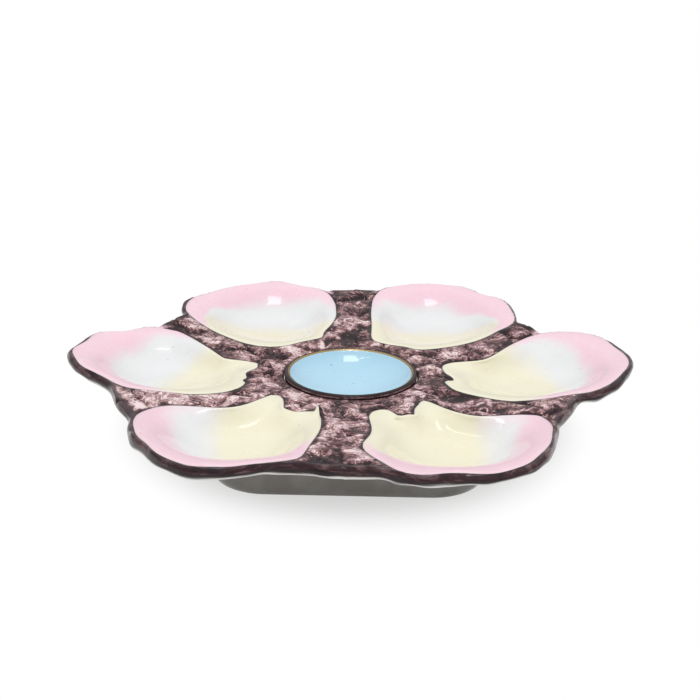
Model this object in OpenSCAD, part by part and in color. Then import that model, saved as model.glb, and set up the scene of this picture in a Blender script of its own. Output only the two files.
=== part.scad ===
// Oyster plate: six shell-shaped oyster wells round a raised sauce well, held in a
// dished ground modelled as rock, on a hollow six-sided foot ring.
//
// The origin is on the table under the middle of the plate, and +Z points up.
// The first well lies along +X, and the others follow counter-clockwise.

/* [Plate] */
// Radius of the seat that the sauce well fills
seat_r = 29; // [27:0.5:31]
// Mean width of the lanes between neighbouring wells
lane_w = 5; // [4:0.5:8]
// How far the lanes run out past the middles of the oyster wells
lane_past = 24; // [21:0.5:27]
// Height of the sauce well's rim over the table
rim_h = 21; // [20:0.5:24]
// Rise of the dished wells from the sauce rim to the lane ends
dish_rise = 4.7; // [3.5:0.1:6]

/* [Oyster wells] */
// Length that the shares in the well outlines are taken of
well_reach = 40; // [37:0.5:41]
// Height of the well floors over the table
floor_h = 14.5; // [13:0.5:16]
// Wall of a well under its floor
floor_wall = 3.4; // [2.8:0.1:4]
// Extra rise of a well's rim at its outer end
crest_lift = 2.1; // [1:0.1:3.5]
// Drop of a well's rim where it meets the ground
crest_round = 0.4; // [0.1:0.1:0.4]
// Height that a well's rim stands over the ground beside it
crest_proud = 0.4; // [0.2:0.1:0.9]

/* [Ground] */
// Wall of the ground between the wells
ground_wall = 3.6; // [3:0.1:4.5]
// Depth of the ground below the sauce rim at its seat
seat_drop = 1.5; // [1:0.1:2]
// Largest height of the rock relief
rock_h = 0.6; // [0:0.1:1]
// Length over which the rock relief repeats
rock_pitch = 17; // [12:0.5:24]

/* [Border] */
// Mean width of the dark border outside a well's rim
border_w = 2.5; // [2:0.1:4]
// Height that the border rolls down over its width
border_drop = 1.2; // [1:0.1:2]
// Height of the border's outer edge
edge_h = 1; // [0.6:0.1:1.4]
// Rise of the underside along the border, which thins the plate's edge
border_rise = 1; // [0.4:0.1:1.2]
// Height of the lip where a lane ends, over the ground
lane_lip = 1.3; // [0.5:0.1:2]
// Number of waves in the border round one well
border_waves = 7; // [3:1:12]

/* [Sauce well] */
// Depth of the sauce well below its rim
sauce_depth = 10.4; // [8:0.2:11]
// Wall of the sauce well under its floor
sauce_wall = 3.4; // [2.8:0.1:4]
// Width of the sauce well's rounded rim
sauce_rim_w = 2.6; // [2:0.1:3.2]
// Width of the gilt band on the sauce rim
gilt_w = 0.9; // [0.6:0.1:1.2]
// Depth of the shallow groove that the gilt band fills
gilt_t = 0.25; // [0.15:0.05:0.4]

/* [Foot] */
// How far the foot's flat sides stand in from the ends of the lanes
foot_inset = 25; // [22:0.5:26]
// Radius of the foot's six rounded corners
foot_corner_r = 22; // [12:0.5:30]
// Wall of the foot ring
foot_wall = 5; // [4:0.1:6.5]
// Bevel on the edges of the face that rests on the table
foot_bevel = 0.8; // [0.4:0.1:1.2]
// Slip allowance between the foot and the underside it is luted to
lute_gap = 0.2; // [0.15:0.05:0.4]
// How far round any point of its top the foot keeps below the underside
lute_reach = 1.1; // [0.8:0.1:1.6]

/* [Hidden] */

// Facets round a turned piece, and how many wells share the circle.
wells = 6;
sector = 360 / wells;
ring_cols = 8;
outer_cols = 26;
turned_facets = wells * ring_cols;

// Rim outline of each well, as [degrees from outward, share of well_reach].
right_shares = [
    [-180, 0.91], [-174, 0.89], [-168, 0.84], [-163, 0.88], [-158, 1.00], [-150, 1.02],
    [-140, 1.00], [-125, 0.965], [-110, 0.985], [-100, 0.925], [-90, 0.885], [-75, 0.855],
    [-68, 0.87], [-60, 0.95], [-45, 0.975], [-30, 0.98], [-20, 1.00], [-10, 1.05],
    [0, 1.08], [12, 1.09], [22, 1.09], [30, 1.15], [40, 1.20], [50, 1.20],
    [60, 1.165], [70, 1.10], [76, 1.05], [83, 0.92], [90, 0.81], [100, 0.69],
    [110, 0.60], [120, 0.55], [130, 0.52], [140, 0.51], [150, 0.55], [156, 0.62],
    [160, 0.75], [165, 0.90], [170, 0.935], [180, 0.91]
];
back_right_shares = [
    [-180, 0.98], [-172, 0.95], [-164, 1.00], [-160, 1.025], [-150, 0.985], [-140, 0.955],
    [-120, 0.93], [-105, 0.915], [-90, 0.92], [-80, 1.00], [-75, 1.035], [-68, 1.05],
    [-55, 1.03], [-42, 1.05], [-33, 1.075], [-27, 1.05], [-20, 0.99], [-12, 0.99],
    [-5, 1.05], [3, 1.11], [12, 1.09], [25, 1.11], [40, 1.12], [50, 1.11],
    [56, 1.14], [62, 1.12], [70, 1.035], [80, 0.925], [90, 0.83], [100, 0.775],
    [110, 0.745], [120, 0.725], [130, 0.735], [140, 0.77], [150, 0.84], [156, 0.90],
    [161, 0.98], [166, 1.00], [180, 0.98]
];
back_left_shares = [
    [-180, 0.875], [-166, 0.89], [-160, 0.80], [-155, 0.765], [-145, 0.745], [-130, 0.74],
    [-115, 0.76], [-100, 0.79], [-90, 0.85], [-80, 0.915], [-70, 1.00], [-62, 1.055],
    [-55, 1.04], [-45, 1.005], [-38, 1.03], [-30, 1.09], [-24, 1.105], [-16, 1.05],
    [-8, 1.015], [0, 1.02], [15, 1.025], [30, 1.035], [37, 1.08], [45, 1.14],
    [55, 1.135], [62, 1.13], [70, 1.07], [80, 1.00], [90, 0.96], [100, 0.945],
    [115, 0.945], [130, 0.99], [142, 1.035], [150, 1.04], [158, 1.00], [165, 0.95],
    [172, 0.90], [180, 0.875]
];
left_shares = [
    [-180, 0.91], [-170, 0.905], [-168, 0.83], [-166, 0.66], [-163, 0.58], [-155, 0.535],
    [-145, 0.525], [-130, 0.54], [-120, 0.57], [-110, 0.615], [-100, 0.69], [-90, 0.81],
    [-82, 0.93], [-76, 0.955], [-70, 1.04], [-60, 1.04], [-52, 0.985], [-44, 0.97],
    [-38, 1.03], [-32, 1.11], [-26, 1.12], [-18, 1.06], [-10, 1.05], [-3, 1.10],
    [5, 1.09], [15, 1.03], [28, 1.00], [38, 0.94], [50, 0.90], [60, 0.925],
    [70, 0.935], [80, 0.885], [90, 0.865], [98, 0.90], [106, 0.95], [120, 1.00],
    [138, 1.03], [146, 1.00], [153, 0.95], [160, 0.875], [167, 0.81], [172, 0.83],
    [180, 0.91]
];
front_left_shares = [
    [-180, 0.63], [-176, 0.70], [-172, 0.82], [-167, 0.92], [-162, 0.955], [-158, 0.89],
    [-154, 0.76], [-150, 0.66], [-145, 0.595], [-138, 0.54], [-128, 0.51], [-120, 0.515],
    [-110, 0.565], [-103, 0.64], [-97, 0.76], [-92, 0.86], [-86, 0.95], [-78, 0.99],
    [-68, 1.035], [-55, 1.02], [-45, 1.00], [-32, 1.01], [-22, 0.985], [-12, 1.03],
    [-3, 1.055], [5, 1.07], [10, 1.10], [16, 1.08], [22, 1.035], [30, 1.03],
    [36, 0.96], [45, 0.92], [55, 0.90], [68, 0.90], [74, 0.83], [80, 0.775],
    [90, 0.715], [100, 0.69], [115, 0.69], [130, 0.715], [145, 0.76], [153, 0.81],
    [159, 0.855], [161, 0.72], [164, 0.64], [172, 0.63], [180, 0.63]
];
front_right_shares = [
    [-180, 0.62], [-174, 0.555], [-168, 0.60], [-164, 0.62], [-162, 0.80], [-160, 0.93],
    [-157, 0.95], [-150, 0.90], [-143, 0.83], [-135, 0.775], [-125, 0.74], [-115, 0.75],
    [-107, 0.79], [-103, 0.86], [-99, 0.93], [-90, 0.935], [-78, 0.965], [-70, 1.00],
    [-64, 1.06], [-57, 1.12], [-50, 1.14], [-44, 1.11], [-38, 1.05], [-32, 1.03],
    [-26, 1.06], [-18, 1.10], [-12, 1.08], [-4, 1.05], [5, 1.025], [12, 0.975],
    [20, 0.95], [30, 0.93], [42, 0.91], [52, 0.905], [60, 0.93], [72, 0.945],
    [82, 0.935], [87, 0.86], [91, 0.75], [96, 0.62], [102, 0.53], [110, 0.465],
    [120, 0.44], [130, 0.455], [140, 0.49], [150, 0.57], [155, 0.64], [159, 0.75],
    [163, 0.86], [166, 0.885], [170, 0.78], [175, 0.71], [180, 0.62]
];
rim_shares = [
    right_shares, back_right_shares, back_left_shares,
    left_shares, front_left_shares, front_right_shares
];
// Half the angle over which an outline's corners are softened, at the rim and further in.
soften = 2;
inner_soften = 22;
// Share of the way in over which the rim's outline turns into the softer one.
soften_share = 0.42;

// Sideways turn of each lane's centre line, as [share of the lane, degrees].
// The first lane follows the first well, counter-clockwise.
bend_shares = [
    [[0, 0], [0.20, -6.1], [0.34, -9.5], [0.48, -10.7], [0.67, -4.8], [0.86, -1.7], [1, 0]],
    [[0, 0], [0.15, 1.5], [0.30, 0.5], [0.50, 0], [1, 0]],
    [[0, 0], [0.19, 8.5], [0.34, 12], [0.47, 10], [0.60, 5], [0.68, 3], [0.86, 1], [1, 0]],
    [[0, 0], [0.22, 2.5], [0.34, 8], [0.47, 10], [0.58, 7], [0.69, 3], [0.86, 1], [1, 0]],
    [[0, 0], [0.50, -0.5], [0.70, -2], [0.85, -2.5], [1, 0]],
    [[0, 0], [0.20, -6.7], [0.34, -9], [0.48, -9], [0.65, -6], [0.85, -2], [1, 0]]
];
// Where the mesh crosses a lane's centre line, and how far out each lane ends.
lane_step_shares = [0, 0.08, 0.20, 0.32, 0.44, 0.56, 0.67, 0.78, 0.87, 0.94, 0.985, 1];
lane_end_shares = [0.975, 1.03, 0.995, 1.035, 1.045, 0.99];
lane_cols = len(lane_step_shares) - 1;
cols = outer_cols + 2 * lane_cols + ring_cols;

// Section of a well, as [share of the way in from its rim, share of its depth].
bowl_shares = [
    [0.03, 0], [0.10, 0.01], [0.17, 0.05], [0.23, 0.13], [0.30, 0.33], [0.37, 0.58],
    [0.45, 0.80], [0.55, 0.93], [0.72, 0.985]
];
// Underside of a well, likewise from the ground's underside to the floor's: the second share
// holds beside the lanes, and the third, which leaves a thinner wall, beside the border.
belly_shares = [
    [0, 0, 0], [0.14, 0.13, 0.05], [0.24, 0.41, 0.22], [0.34, 0.70, 0.50], [0.45, 0.89, 0.77],
    [0.60, 0.98, 0.93], [0.78, 1, 0.99]
];

// Shares of a lane between which its lip rises.
lip_share = 0.82;
lip_top_share = 0.94;
// Share of a lane, at both ends, and of the way from a rim over which the relief fades.
lane_fade_share = 0.125;
rim_fade_share = 0.33;
// The waves of the rock relief, as [turns along X, turns along Y, share of rock_h].
rock_wave_shares = [[1, 0.4, 0.6], [-0.7, 1.3, 0.4]];

// Bands of the ground's top from a well's rim outward.
ground_shares = [0, 0.25, 0.50, 0.75, 1];
under_shares = [0, 0.50, 1];
// Share of the outer arc over which the border runs into a lane's end.
corner_share = 0.13;
// Share of a lane after which the ground's bands gather at the border.
gather_share = 0.8;
// Lift of the ground's underside at the border, as a share of the border's drop.
under_lift_share = 0.9;
// Share of the border's width that its waves add and take away.
wave_share = 0.18;

// Section of the sauce bowl, as [share of its inner radius, share of its depth].
sauce_shares = [
    [1, 0.06], [0.985, 0.16], [0.94, 0.36], [0.86, 0.57], [0.75, 0.75], [0.60, 0.88],
    [0.42, 0.96], [0.22, 0.99]
];
// Rounded rim of the sauce well, as [share of its width, share of its width down].
sauce_rim_shares = [[0, 0.34], [0.10, 0.16], [0.28, 0]];
// Underside of the sauce well, as [share of its radius, share of the way up to its seat].
sauce_belly_shares = [[0.94, 0.73], [0.84, 0.42], [0.70, 0.17], [0.50, 0.03]];
// Where the gilt band starts, inward and down the rim's inner slope, as shares of the rim's
// width, and how far it stands proud, as a share of its groove.
gilt_share = 0.06;
gilt_drop_share = 0.2;
gilt_lift_share = 0.2;

// Rows of the foot: points along each rounded corner and each flat side.
foot_arc_cols = 10;
foot_side_cols = 14;
// Passes that find how far in a point lies under a softened outline.
share_passes = 16;

glaze_white = [0.93, 0.92, 0.90];
glaze_pale = [0.94, 0.90, 0.84];
glaze_blue = [0.70, 0.86, 0.95];
glaze_brown = [0.50, 0.40, 0.40];
gilding = [0.78, 0.62, 0.32];

// Share of well_reach that a well takes on either side, beside its lanes.
well_side_share = 0.9;
// Neighbouring wells stand as far apart as each stands from the middle of the plate.
well_orbit = 2 * well_reach * well_side_share + lane_w;
lane_end_r = well_orbit + lane_past;
foot_apothem = lane_end_r - foot_inset;
seat_h = rim_h - seat_drop;
lane_run = lane_end_r - seat_r;
ground_rise = dish_rise + seat_drop;
crest_r = well_orbit + well_reach;
under_lift = border_drop * under_lift_share;
sauce_r = seat_r * cos(180 / turned_facets);
sauce_in_r = sauce_r - sauce_rim_w;
sauce_floor_h = rim_h - sauce_depth;
gilt_in_r = sauce_in_r + sauce_rim_w * gilt_share;
gilt_out_r = gilt_in_r + gilt_w;
gilt_low_h = rim_h - sauce_rim_w * gilt_drop_share;
gilt_lift = gilt_t * gilt_lift_share;

function mix(a, b, s) = a + (b - a) * s;
function ease(s) = let (c = max(0, min(1, s))) c * c * (3 - 2 * c);
function wrapped(a) = a - 360 * floor((a + 180) / 360);
function spin(p, a) = [p[0] * cos(a) - p[1] * sin(a), p[0] * sin(a) + p[1] * cos(a)];
function well_angle(k) = sector * k;
function well_mid(k) = spin([well_orbit, 0], well_angle(k));

// Distance from a well's middle to its rim, at an angle from outward.
function rim_share(k, a) = lookup(wrapped(a), rim_shares[k]);
function rim_reach(k, a) = well_reach
    * (rim_share(k, a - soften) + 2 * rim_share(k, a) + rim_share(k, a + soften)) / 4;

// The same further in: at a share s of the way to the middle the outline is softer.
function soft_share(k, a) = (
    rim_share(k, a - 2 * inner_soften) + 2 * rim_share(k, a - inner_soften) + 2 * rim_share(k, a)
    + 2 * rim_share(k, a + inner_soften) + rim_share(k, a + 2 * inner_soften)) / 8;
function full_reach(k, a, s) =
    mix(rim_reach(k, a), well_reach * soft_share(k, a), ease(s / soften_share));

// Heights: a well's rim, the ground between wells, and the underside of both.
function crest_z(k, p) = rim_h + dish_rise * (norm(p) - seat_r) / lane_run
    + crest_lift * ease((spin(p, -well_angle(k))[0] - well_orbit) / well_reach);
function ground_z(p) = seat_h + ground_rise * (norm(p) - seat_r) / lane_run;
function under_z(p) = ground_z(p) - ground_wall
    + under_lift * ease((norm(p) - lane_end_r) / (crest_r - lane_end_r));
function wave(p, w) = w[2] * sin(360 * (w[0] * p[0] + w[1] * p[1]) / rock_pitch);
function rock_z(p) = rock_h * (wave(p, rock_wave_shares[0]) + wave(p, rock_wave_shares[1]));

// A point on the centre line of lane k, from its seat (0) to its end.
function lane_share(j) = lane_step_shares[j];
function lane_r(k, s) = mix(seat_r, lane_end_r * lane_end_shares[k], s);
function lane_point(k, j) = let (s = lane_share(j),
    a = sector * (k + 0.5) + lookup(s, bend_shares[k])) spin([lane_r(k, s), 0], a);
function lane_fade(s) = ease(min(s, 1 - s) / lane_fade_share);
function lane_z(k, j) = let (
    s = lane_share(j),
    p = lane_point(k, j),
    lip = lane_lip * ease((s - lip_share) / (lip_top_share - lip_share)),
    over_edge = roll(max(0, 1 - (lane_r(k, 1) - norm(p)) / border_w)))
    ground_z(p) + rock_z(p) * lane_fade(s) + lip - (border_drop + lane_lip) * over_edge;

function before(k) = (k + wells - 1) % wells;
function seen_from_well(k, p) = spin(p - well_mid(k), -well_angle(k));
function heading(p) = atan2(p[1], p[0]);

// The outer edge of the border round well k, at a share t of the outer arc.
function corner(t) = ease(1 - min(t, 1 - t) / corner_share);
function border_width(a) = border_w * (1 + wave_share * sin(border_waves * a));
function outer_point(k, t) = let (
    first = seen_from_well(k, lane_point(before(k), lane_cols)),
    last = seen_from_well(k, lane_point(k, lane_cols)),
    a = mix(heading(first), heading(last), t),
    open_r = rim_reach(k, a) + border_width(a),
    lane_a = t < 0.5 ? -sector / 2 : sector / 2,
    lane_k = t < 0.5 ? before(k) : k,
    end_run = lane_r(lane_k, 1) - well_orbit * cos(lane_a),
    end_r = end_run / cos(a - lane_a))
    well_mid(k) + spin([mix(open_r, end_r, corner(t)), 0], a + well_angle(k));

// Column i of the ground round well k: outer arc, lane in, seat, lane out.
lane_in = outer_cols;
seat_from = outer_cols + lane_cols;
lane_back = seat_from + ring_cols;
function edge_point(k, i) =
    i == 0 ? lane_point(before(k), lane_cols)
    : i < lane_in ? outer_point(k, i / outer_cols)
    : i <= seat_from ? lane_point(k, lane_cols - (i - lane_in))
    : i < lane_back ? spin([seat_r, 0], sector * (k + 0.5 - (i - seat_from) / ring_cols))
    : lane_point(before(k), i - lane_back);
function rim_point(k, i) = let (a = heading(seen_from_well(k, edge_point(k, i))))
    well_mid(k) + spin([rim_reach(k, a), 0], a + well_angle(k));
function on_border(i) = i <= lane_in;
function edge_z(k, i) = let (p = rim_point(k, i))
    i == 0 ? lane_z(before(k), lane_cols)
    : i < lane_in ? mix(crest_z(k, p) - crest_proud, ground_z(edge_point(k, i)),
        corner(i / outer_cols)) - border_drop
    : i <= seat_from ? lane_z(k, lane_cols - (i - lane_in))
    : i < lane_back ? seat_h
    : lane_z(before(k), i - lane_back);

// How near column i is to the border, so that its bands gather at the edge.
function lane_place(i) = i <= seat_from ? lane_share(lane_cols - (i - lane_in))
    : i < lane_back ? 0 : lane_share(i - lane_back);
function gather(i) = on_border(i) ? 1
    : ease((lane_place(i) - gather_share) / (1 - gather_share));
function band_share(s, run, i) = s == 0 ? 0
    : mix(s, 1 - (1 - s) * min(1, border_w / run), gather(i));
function roll(s) = 1 - sqrt(1 - s * s);

function ground_top(k, i, s) = let (
    a = rim_point(k, i),
    b = edge_point(k, i),
    t = band_share(s, norm(b - a), i),
    p = mix(a, b, t),
    za = crest_z(k, a) - crest_proud,
    drop = on_border(i) ? border_drop + lane_lip * corner(i / outer_cols) : 0,
    relief = on_border(i) ? 0
        : rock_z(p) * ease(s / rim_fade_share) * lane_fade(lane_place(i)))
    s == 1 ? [b[0], b[1], edge_z(k, i)]
    : [p[0], p[1], mix(za, edge_z(k, i) + drop, ease(t)) - drop * roll(s) + relief];
function thin_share(i) = on_border(i) ? 1 - corner(i / outer_cols) : 0;
function ground_under(k, i, s) = let (
    a = rim_point(k, i),
    b = edge_point(k, i),
    p = mix(a, b, s))
    [p[0], p[1], s == 1 && on_border(i) ? edge_z(k, i) - edge_h
        : under_z(p) + border_rise * thin_share(i)];

// Triangles between two rows of n points; a closed row joins its end to its start.
function band(from, to, n, first, last) = [
    for (i = [first : last]) let (j = (i + 1) % n)
        each [[from + i, from + j, to + j], [from + i, to + j, to + i]]
];

ground_rows = len(ground_shares);
under_rows = len(under_shares);
cell_rows = ground_rows + under_rows;
function cell_points(k) = [
    for (s = ground_shares) for (i = [0 : cols - 1]) ground_top(k, i, s),
    for (s = under_shares) for (i = [0 : cols - 1]) ground_under(k, i, s)
];
function cell_faces(at) = [
    for (r = [0 : ground_rows - 2])
        each band(at + r * cols, at + (r + 1) * cols, cols, 0, cols - 1),
    for (r = [0 : under_rows - 2])
        each band(at + (ground_rows + r + 1) * cols, at + (ground_rows + r) * cols,
            cols, 0, cols - 1),
    each band(at + ground_rows * cols, at, cols, 0, cols - 1),
    for (edge = [[0, lane_in - 1], [seat_from, lane_back - 1]])
        each band(at + (ground_rows - 1) * cols, at + (cell_rows - 1) * cols,
            cols, edge[0], edge[1])
];

module rock_ground() {
    color(glaze_brown)
        polyhedron(
            points = [for (k = [0 : wells - 1]) each cell_points(k)],
            faces = [for (k = [0 : wells - 1]) each cell_faces(k * cell_rows * cols)]
        );
}

// A well's section rows: the rim edge, the bowl, then the belly and the floor's middle.
function bowl_z(k, a, w) = mix(crest_z(k, a), floor_h, w);
function belly_z(p, w) = mix(under_z(p), floor_h - floor_wall, w);
function inner_point(k, i, s) = let (a = heading(seen_from_well(k, edge_point(k, i))))
    well_mid(k) + spin([(1 - s) * full_reach(k, a, s), 0], a + well_angle(k));
function well_row(k, s) =
    [for (i = [0 : cols - 1]) s == 0 ? rim_point(k, i) : inner_point(k, i, s)];
function with_z(p, z) = [p[0], p[1], z];
bowl_rows = len(bowl_shares);
belly_rows = len(belly_shares);
bowl_end = bowl_rows * cols;
belly_end = (bowl_rows + belly_rows) * cols;
well_middle = belly_end + cols;
function well_points(k) = [
    for (p = well_row(k, 0)) with_z(p, crest_z(k, p) - crest_round),
    for (b = bowl_shares) for (i = [0 : cols - 1])
        with_z(inner_point(k, i, b[0]), bowl_z(k, rim_point(k, i), b[1])),
    for (b = belly_shares) let (row = well_row(k, b[0])) for (i = [0 : cols - 1])
        let (thin = thin_share(i), w = mix(b[1], b[2], thin))
        with_z(row[i], belly_z(row[i], w) + (1 - w) * border_rise * thin),
    with_z(well_mid(k), floor_h),
    with_z(well_mid(k), floor_h - floor_wall)
];
well_faces = [
    for (r = [0 : bowl_rows - 1]) each band((r + 1) * cols, r * cols, cols, 0, cols - 1),
    each band(0, (bowl_rows + 1) * cols, cols, 0, cols - 1),
    for (r = [0 : belly_rows - 2])
        each band((bowl_rows + 1 + r) * cols, (bowl_rows + 2 + r) * cols, cols, 0, cols - 1),
    for (i = [0 : cols - 1]) [bowl_end + (i + 1) % cols, bowl_end + i, well_middle],
    for (i = [0 : cols - 1]) [belly_end + i, belly_end + (i + 1) % cols, well_middle + 1]
];

module oyster_well(k) {
    color(glaze_pale)
        polyhedron(points = well_points(k), faces = well_faces);
}

module well_right() {
    oyster_well(0);
}

module well_back_right() {
    oyster_well(1);
}

module well_back_left() {
    oyster_well(2);
}

module well_left() {
    oyster_well(3);
}

module well_front_left() {
    oyster_well(4);
}

module well_front_right() {
    oyster_well(5);
}

// Half section of the sauce well, from its axis out along the bowl and back underneath.
sauce_bowl = [
    [0, sauce_floor_h],
    for (i = [len(sauce_shares) - 1 : -1 : 0])
        [sauce_in_r * sauce_shares[i][0], rim_h - sauce_depth * sauce_shares[i][1]]
];
sauce_rim = [
    [gilt_in_r, gilt_low_h],
    [gilt_in_r, gilt_low_h - gilt_t],
    [gilt_out_r, rim_h - gilt_t],
    [gilt_out_r, rim_h],
    for (i = [len(sauce_rim_shares) - 1 : -1 : 0])
        [sauce_r - sauce_rim_w * sauce_rim_shares[i][0], rim_h - sauce_rim_w * sauce_rim_shares[i][1]]
];
sauce_belly = [
    [sauce_r, seat_h - ground_wall],
    for (b = sauce_belly_shares)
        [sauce_r * b[0], mix(sauce_floor_h - sauce_wall, seat_h - ground_wall, b[1])],
    [0, sauce_floor_h - sauce_wall]
];

module sauce_well() {
    color(glaze_blue)
        rotate_extrude($fn = turned_facets)
            polygon([each sauce_bowl, each sauce_rim, each sauce_belly]);
}

module gilt_band() {
    color(gilding)
        rotate_extrude($fn = turned_facets)
            polygon([
                [gilt_in_r, gilt_low_h - gilt_t],
                [gilt_out_r, rim_h - gilt_t],
                [gilt_out_r, rim_h + gilt_lift],
                [gilt_in_r, gilt_low_h + gilt_lift]
            ]);
}

// Outline of the foot, set in from its outer face: corners point at the wells.
function foot_outline(inset) = let (
    r = foot_corner_r - inset,
    mid_r = (foot_apothem - foot_corner_r) / cos(sector / 2))
    [
        for (k = [0 : wells - 1]) let (
            here = spin([mid_r, 0], well_angle(k)),
            next = spin([mid_r, 0], well_angle(k + 1)),
            side = spin([r, 0], well_angle(k + 0.5)))
            each [
                for (i = [0 : foot_arc_cols - 1])
                    here + spin([r, 0], well_angle(k) + sector * (i / foot_arc_cols - 0.5)),
                for (i = [0 : foot_side_cols - 1]) mix(here, next, i / foot_side_cols) + side
            ]
    ];

// The underside over any point: a well's belly inside its rim, else the ground's.
function lane_side(k, p) = let (s = (norm(p) - seat_r) / lane_run)
    wrapped(heading(p) - sector * (k + 0.5) - lookup(s, bend_shares[k]));
function well_over(p) = let (k = floor(heading(p) / sector + 0.5), near = (k + wells) % wells)
    lane_side(near, p) > 0 ? (near + 1) % wells
    : lane_side(before(near), p) < 0 ? before(near) : near;
function share_in(k, q, s, turns) = turns == 0 ? s
    : share_in(k, q, 1 - norm(q) / full_reach(k, heading(q), s), turns - 1);
lane_belly_shares = [for (b = belly_shares) [b[0], b[1]]];
function underside_z(p) = let (
    k = well_over(p),
    q = seen_from_well(k, p),
    s = share_in(k, q, 0, share_passes))
    s > 0 ? belly_z(p, lookup(s, lane_belly_shares)) : under_z(p);
function luted_z(p) = min([
    underside_z(p),
    for (k = [0 : wells - 1]) underside_z(p + spin([lute_reach, 0], sector * k))
]) - lute_gap;

foot_cols = wells * (foot_arc_cols + foot_side_cols);
foot_levels = [
    [foot_bevel, 0], [0, foot_bevel],
    [0, undef], [foot_wall / 3, undef], [foot_wall * 2 / 3, undef], [foot_wall, undef],
    [foot_wall, foot_bevel], [foot_wall - foot_bevel, 0]
];
foot_points = [
    for (level = foot_levels) for (p = foot_outline(level[0]))
        with_z(p, is_undef(level[1]) ? luted_z(p) : level[1])
];
foot_rows = len(foot_levels);
foot_faces = [
    for (r = [0 : foot_rows - 1])
        each band((r + 1) % foot_rows * foot_cols, r * foot_cols, foot_cols, 0, foot_cols - 1)
];

module foot_ring() {
    color(glaze_white)
        polyhedron(points = foot_points, faces = foot_faces);
}

rock_ground();
foot_ring();
sauce_well();
gilt_band();
well_right();
well_back_right();
well_back_left();
well_left();
well_front_left();
well_front_right();
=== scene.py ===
"""Looks of a glazed porcelain oyster plate: six shell-shaped wells, painted pink, white and
yellow, lie round a blue sauce well in a ground modelled and painted as rock.

Lengths are in metres, +Z is up, and the plate stands on the floor at the origin.
"""

import math

import bmesh
import bpy
from bpy.props import FloatProperty, FloatVectorProperty, IntProperty, PointerProperty
from mathutils import Matrix, Vector, kdtree, noise


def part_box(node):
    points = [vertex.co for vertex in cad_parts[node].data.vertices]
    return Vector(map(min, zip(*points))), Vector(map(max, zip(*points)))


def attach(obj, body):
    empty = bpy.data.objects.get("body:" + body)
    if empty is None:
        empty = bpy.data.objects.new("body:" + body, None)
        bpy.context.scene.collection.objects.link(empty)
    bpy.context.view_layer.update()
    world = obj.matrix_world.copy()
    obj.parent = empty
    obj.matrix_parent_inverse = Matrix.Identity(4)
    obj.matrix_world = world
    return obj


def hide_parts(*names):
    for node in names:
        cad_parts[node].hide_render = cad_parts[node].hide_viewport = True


bl_info = {
    "name": "Oyster Plate",
    "version": (1, 0, 0),
    "blender": (4, 5, 0),
    "location": "View3D > Sidebar > Oyster Plate",
    "description": "Makes a glazed oyster plate and the stage it stands on",
    "category": "Object",
}

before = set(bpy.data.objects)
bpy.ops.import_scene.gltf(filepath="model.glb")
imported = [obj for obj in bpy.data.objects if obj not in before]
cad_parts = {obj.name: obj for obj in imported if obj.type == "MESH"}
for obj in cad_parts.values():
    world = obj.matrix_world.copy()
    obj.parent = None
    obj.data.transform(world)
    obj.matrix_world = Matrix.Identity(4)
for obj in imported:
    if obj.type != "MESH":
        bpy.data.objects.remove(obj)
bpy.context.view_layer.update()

MM = 0.001
BODY = "root"
WELLS = ("right", "back_right", "back_left", "left", "front_left", "front_right")


def colour_property(name, description, default):
    """A colour as red, green and blue in linear light."""
    return FloatVectorProperty(
        name=name, description=description, default=default, subtype="COLOR", min=0, max=1)


def length_property(name, description, default):
    """A length in metres."""
    return FloatProperty(
        name=name, description=description, default=default, unit="LENGTH", precision=5)


class PlateSizes(bpy.types.PropertyGroup):
    """Sizes of the modelled and painted forms"""
    relief: length_property("Relief", "Height of the lumps modelled on the rock", 1.6 * MM)
    lump: length_property("Lump", "Size of one lump of the rock", 19 * MM)
    lane_pitch: length_property("Lane pitch", "Radius at which lumps are as wide as long", 52 * MM)
    bead: length_property("Bead", "Height of the bead that rolls round the border", 0.7 * MM)
    lip: length_property("Lip", "Depth to which the border's lower edge rolls down", 1.3 * MM)
    tuck: length_property("Tuck", "Depth of the border behind the back wells' rims", 0.9 * MM)
    strand: length_property("Strand", "Depth of the strands modelled along the border", 0.45 * MM)
    # The dark line round a well; the rock's paint widens it by noise into painted shade along the
    # rims.
    outline: length_property("Outline", "Width of the dark line painted round a well", 0.7 * MM)
    border: length_property("Border", "Width of the dark painted border", 2.9 * MM)
    blush: length_property("Blush", "Width of the pink at a well's outer end", 15 * MM)
    blend: length_property("Blend", "Length over which white turns to yellow", 15 * MM)
    sauce_rim: length_property("Sauce rim", "Width of the sauce well's rounded rim", 2.6 * MM)
    sauce_depth: length_property("Sauce depth", "Depth of the sauce well", 10.4 * MM)
    gilt: length_property("Gilt line", "Width of the gilt line on the sauce rim", 0.9 * MM)
    gilt_depth: length_property("Gilt depth", "Depth of the groove that holds the gilding", 0.3 * MM)
    foot_face: length_property("Foot face", "Height of the bare clay at the foot's edge", 0.5 * MM)
    seed: IntProperty(name="Seed", description="Choice of the rock's lumps", default=3, min=1)


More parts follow.
